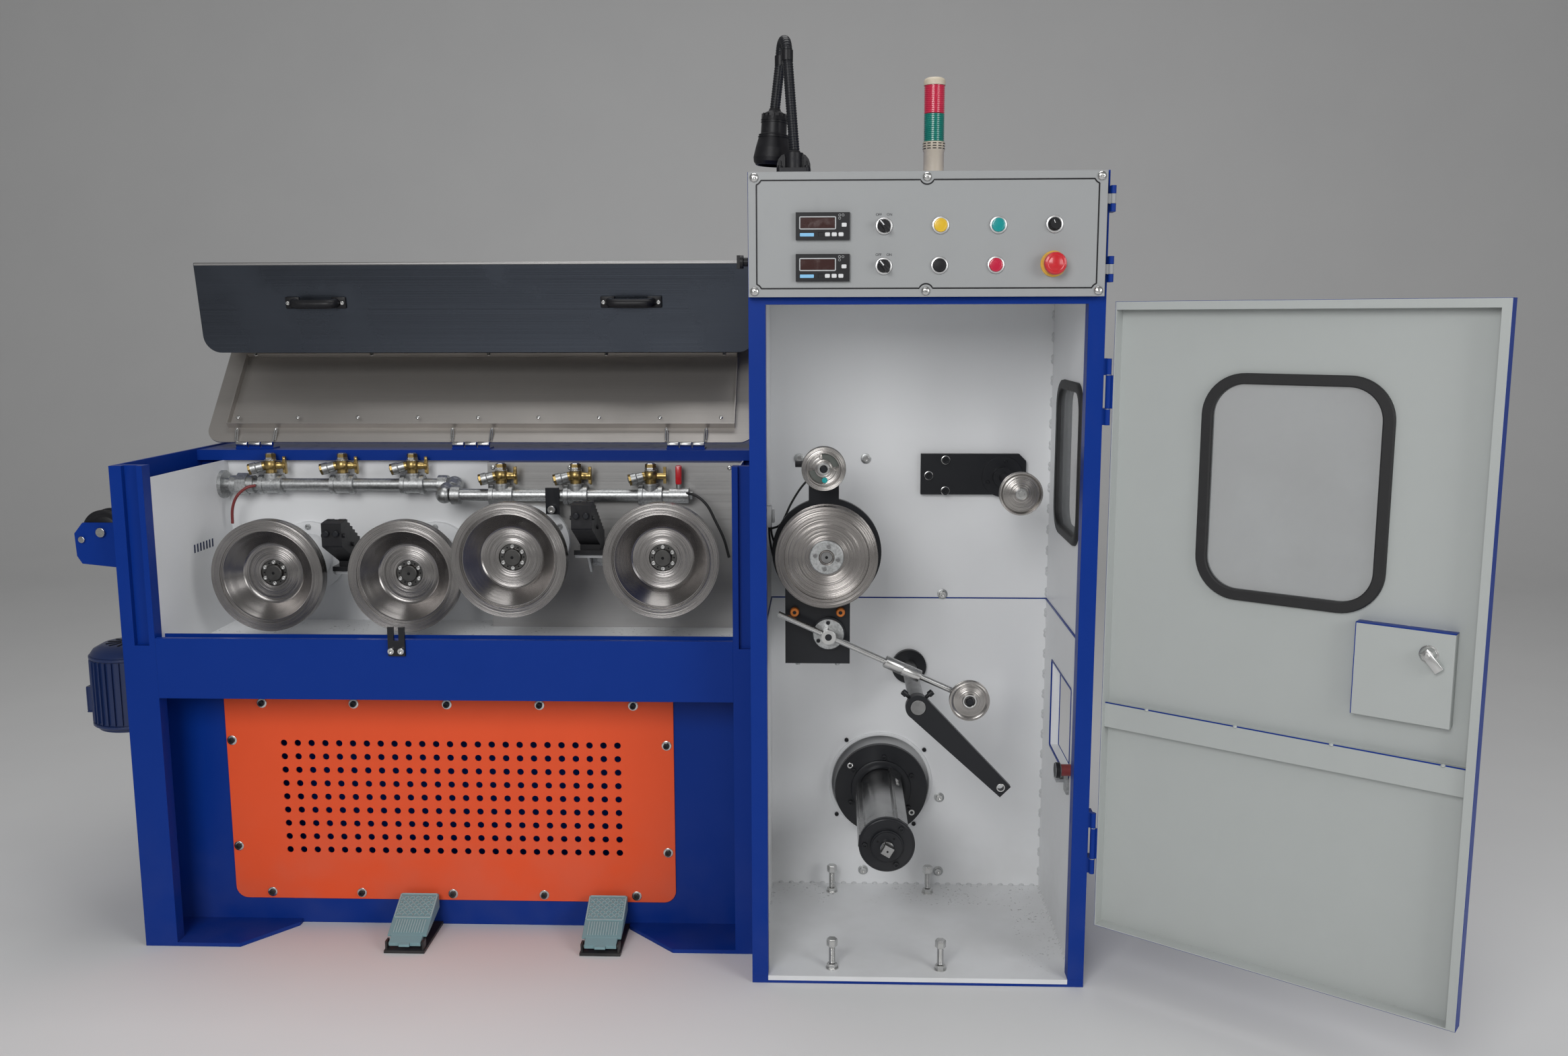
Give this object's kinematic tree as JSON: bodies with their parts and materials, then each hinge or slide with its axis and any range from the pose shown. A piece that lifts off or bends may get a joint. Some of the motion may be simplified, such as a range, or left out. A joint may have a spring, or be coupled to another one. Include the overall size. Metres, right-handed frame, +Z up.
{
  "type": "fine wire drawing machine",
  "caption": "Fine wire drawing machine: stepped cones in a hooded chamber beside a tall take-up cabinet with door, capstan, dancer, bobbin spindle and control panel.",
  "frame": {"origin": "On the floor, at the centre of the take-up cabinet's footprint.", "axes": "+X to the operator's right along the machine, +Y away from the operator, +Z up."},
  "size_m": [2.6281, 1.2877, 1.8069],
  "materials": {
    "frame_blue": "gloss enamel",
    "inner_white": "satin enamel",
    "black_metal": "black oxide",
    "steel": "turned",
    "stainless": "brushed sheet",
    "panel_silver": "satin sheet",
    "zinc": "galvanised",
    "brass": "machined",
    "orange": "gloss enamel",
    "rubber": "matt",
    "black_plastic": "moulded",
    "button_plastic": "moulded",
    "stop_red": "moulded",
    "beige_plastic": "moulded",
    "green_lens": "ribbed lens",
    "red_lens": "ribbed lens",
    "aqua": "cast and painted",
    "motor_blue": "gloss enamel"
  },
  "bodies": {
    "machine": {"cab_base": "inner_white", "cab_posts": "frame_blue", "cab_left_wall": "inner_white", "cab_right_wall": "inner_white", "cab_back_wall": "inner_white", "cab_roof": "frame_blue", "rear_housing": "frame_blue", "anchor_bolts": "zinc", "side_window": "rubber", "side_latch": "zinc", "control_box": "frame_blue", "box_lock": "black_plastic", "tower_stem": "beige_plastic", "tower_green": "green_lens", "tower_red": "red_lens", "gooseneck_lamp": "black_plastic", "body_left_end": "frame_blue", "body_right_end": "frame_blue", "front_beam": "frame_blue", "drive_housing": "frame_blue", "bearing_plate": "stainless", "chamber_lining": "inner_white", "top_cover": "frame_blue", "latch_fork": "black_metal", "left_manifold": "zinc", "right_manifold": "zinc", "spray_valves": "brass", "die_holders": "black_metal", "cone_bearings": "inner_white", "vent_cover": "orange", "pedal_bases": "black_metal", "entry_bracket": "frame_blue", "side_motor": "motor_blue", "capstan_bracket": "black_metal", "take_up_supports": "black_metal"},
    "door": {"cab_door": "inner_white", "door_window": "rubber", "door_lock": "inner_white"},
    "panel": {"control_panel": "panel_silver", "panel_meters": "black_plastic", "panel_controls": "button_plastic", "panel_stop": "stop_red"},
    "lid": {"lid_plate": "stainless"},
    "flap": {"flap_plate": "stainless", "flap_handles": "black_plastic"},
    "cone_1": {"drawing_cone_1": "steel"},
    "cone_2": {"drawing_cone_2": "steel"},
    "cone_3": {"drawing_cone_3": "steel"},
    "cone_4": {"drawing_cone_4": "steel"},
    "capstan": {"finish_capstan": "steel"},
    "sensor": {"sensor_pulley": "steel"},
    "dancer": {"dancer_arm": "steel"},
    "dancer_wheel": {"dancer_pulley": "steel"},
    "traverse": {"traverse_pulley": "steel"},
    "arm": {"spool_arm": "black_metal"},
    "bobbin_spindle": {"spindle": "steel"},
    "pedal_left": {"left_pedal": "aqua"},
    "pedal_right": {"right_pedal": "aqua"},
    "roller": {"entry_roller": "black_plastic"}
  },
  "joints": [
    {"name": "door_hinge", "type": "hinge", "parent": "machine", "child": "door", "pos_m": [0.3305, -0.453, 0.725], "axis": [0, 0, 1], "range_deg": [-143.4, 20]},
    {"name": "panel_hinge", "type": "hinge", "parent": "machine", "child": "panel", "pos_m": [0.3275, -0.456, 1.436], "axis": [0, 0, 1], "range_deg": [0, 110]},
    {"name": "lid_hinge", "type": "hinge", "parent": "machine", "child": "lid", "pos_m": [-0.9585, 0.055, 1.013], "axis": [-1, 0, 0], "range_deg": [-91.3, 0]},
    {"name": "flap_hinge", "type": "hinge", "parent": "lid", "child": "flap", "pos_m": [-0.9585, 0.06401, 1.4099], "axis": [-1, 0, 0], "range_deg": [0, 121.3]},
    {"name": "cone_1_spin", "type": "hinge", "parent": "machine", "child": "cone_1", "pos_m": [-1.3485, -0.2, 0.76], "axis": [0, 1, 0], "continuous": true},
    {"name": "cone_2_spin", "type": "hinge", "parent": "machine", "child": "cone_2", "pos_m": [-1.0595, -0.2, 0.76], "axis": [0, 1, 0], "continuous": true},
    {"name": "cone_3_spin", "type": "hinge", "parent": "machine", "child": "cone_3", "pos_m": [-0.8245, -0.26, 0.806], "axis": [0, 1, 0], "continuous": true},
    {"name": "cone_4_spin", "type": "hinge", "parent": "machine", "child": "cone_4", "pos_m": [-0.5145, -0.26, 0.806], "axis": [0, 1, 0], "continuous": true},
    {"name": "capstan_spin", "type": "hinge", "parent": "machine", "child": "capstan", "pos_m": [-0.1795, -0.3, 0.828], "axis": [0, 1, 0], "continuous": true},
    {"name": "sensor_spin", "type": "hinge", "parent": "machine", "child": "sensor", "pos_m": [-0.1855, -0.33, 1.002], "axis": [0, 1, 0], "continuous": true},
    {"name": "dancer_swing", "type": "hinge", "parent": "machine", "child": "dancer", "pos_m": [-0.1755, -0.302, 0.663], "axis": [0, -1, 0], "range_deg": [0, 50]},
    {"name": "dancer_wheel_spin", "type": "hinge", "parent": "dancer", "child": "dancer_wheel", "pos_m": [0.10496, -0.32, 0.53813], "axis": [0, 1, 0], "continuous": true},
    {"name": "traverse_spin", "type": "hinge", "parent": "machine", "child": "traverse", "pos_m": [0.1985, -0.307, 0.951], "axis": [0, 1, 0], "continuous": true},
    {"name": "arm_swing", "type": "hinge", "parent": "machine", "child": "arm", "pos_m": [0.0025, -0.33, 0.527], "axis": [0, -1, 0], "range_deg": [-30, 12]},
    {"name": "spindle_spin", "type": "hinge", "parent": "machine", "child": "bobbin_spindle", "pos_m": [-0.0585, -0.2, 0.257], "axis": [0, 1, 0], "continuous": true},
    {"name": "left_pedal_press", "type": "hinge", "parent": "machine", "child": "pedal_left", "pos_m": [-1.0465, -0.338, 0.016], "axis": [-1, 0, 0], "range_deg": [0, 7], "stiffness_Nm_per_rad": 12, "springref_deg": -6.88},
    {"name": "right_pedal_press", "type": "hinge", "parent": "machine", "child": "pedal_right", "pos_m": [-0.6415, -0.338, 0.016], "axis": [-1, 0, 0], "range_deg": [0, 7], "stiffness_Nm_per_rad": 12, "springref_deg": -6.88},
    {"name": "roller_spin", "type": "hinge", "parent": "machine", "child": "roller", "pos_m": [-1.6465, -0.257, 0.865], "axis": [0, 1, 0], "continuous": true}
  ],
  "couplings": [
    {"joint": "flap_hinge", "follows": "lid_hinge", "ratio": -1.3286}
  ]
}
